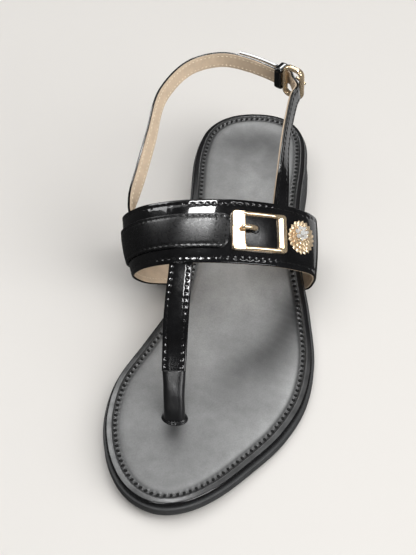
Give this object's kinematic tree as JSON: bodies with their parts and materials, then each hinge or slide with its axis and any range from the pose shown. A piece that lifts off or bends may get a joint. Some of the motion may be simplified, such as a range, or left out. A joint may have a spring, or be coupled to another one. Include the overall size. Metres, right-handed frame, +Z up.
{
  "type": "toe post sandal",
  "caption": "Flat strap sandal for a left foot: stitched footbed on a low-heeled sole, toe post with T-strap, instep band with ornamental buckle and flower, buckled ankle strap.",
  "frame": {"origin": "on the floor under the middle of the heel, on the heel's flat tread", "axes": "+X lateral (away from the other foot), -Y towards the toes, +Z up"},
  "size_m": [0.1053, 0.2589, 0.0834],
  "materials": {
    "sole_rubber": "satin black moulded rubber",
    "footbed_leather": "fine-grained black footbed cover with a soft sheen",
    "patent_leather": "glossy black patent",
    "matte_leather": "matte black",
    "lining": "smooth beige lining",
    "thread": "black stitching",
    "gold_metal": "polished pale gold",
    "clear_stone": "faceted clear stones on foil"
  },
  "bodies": {
    "root": {"outsole": "sole_rubber", "insole": "footbed_leather", "upper": "patent_leather", "overlay_strap": "matte_leather", "buckle_tab": "matte_leather", "ornament_buckle": "gold_metal", "ornament_prong": "gold_metal", "flower_petals": "gold_metal", "flower_stones": "clear_stone", "toe_post_sleeve": "matte_leather", "toe_post_collar": "matte_leather", "ankle_buckle": "gold_metal", "ankle_prong": "gold_metal", "strap_keeper": "patent_leather"}
  },
  "joints": []
}
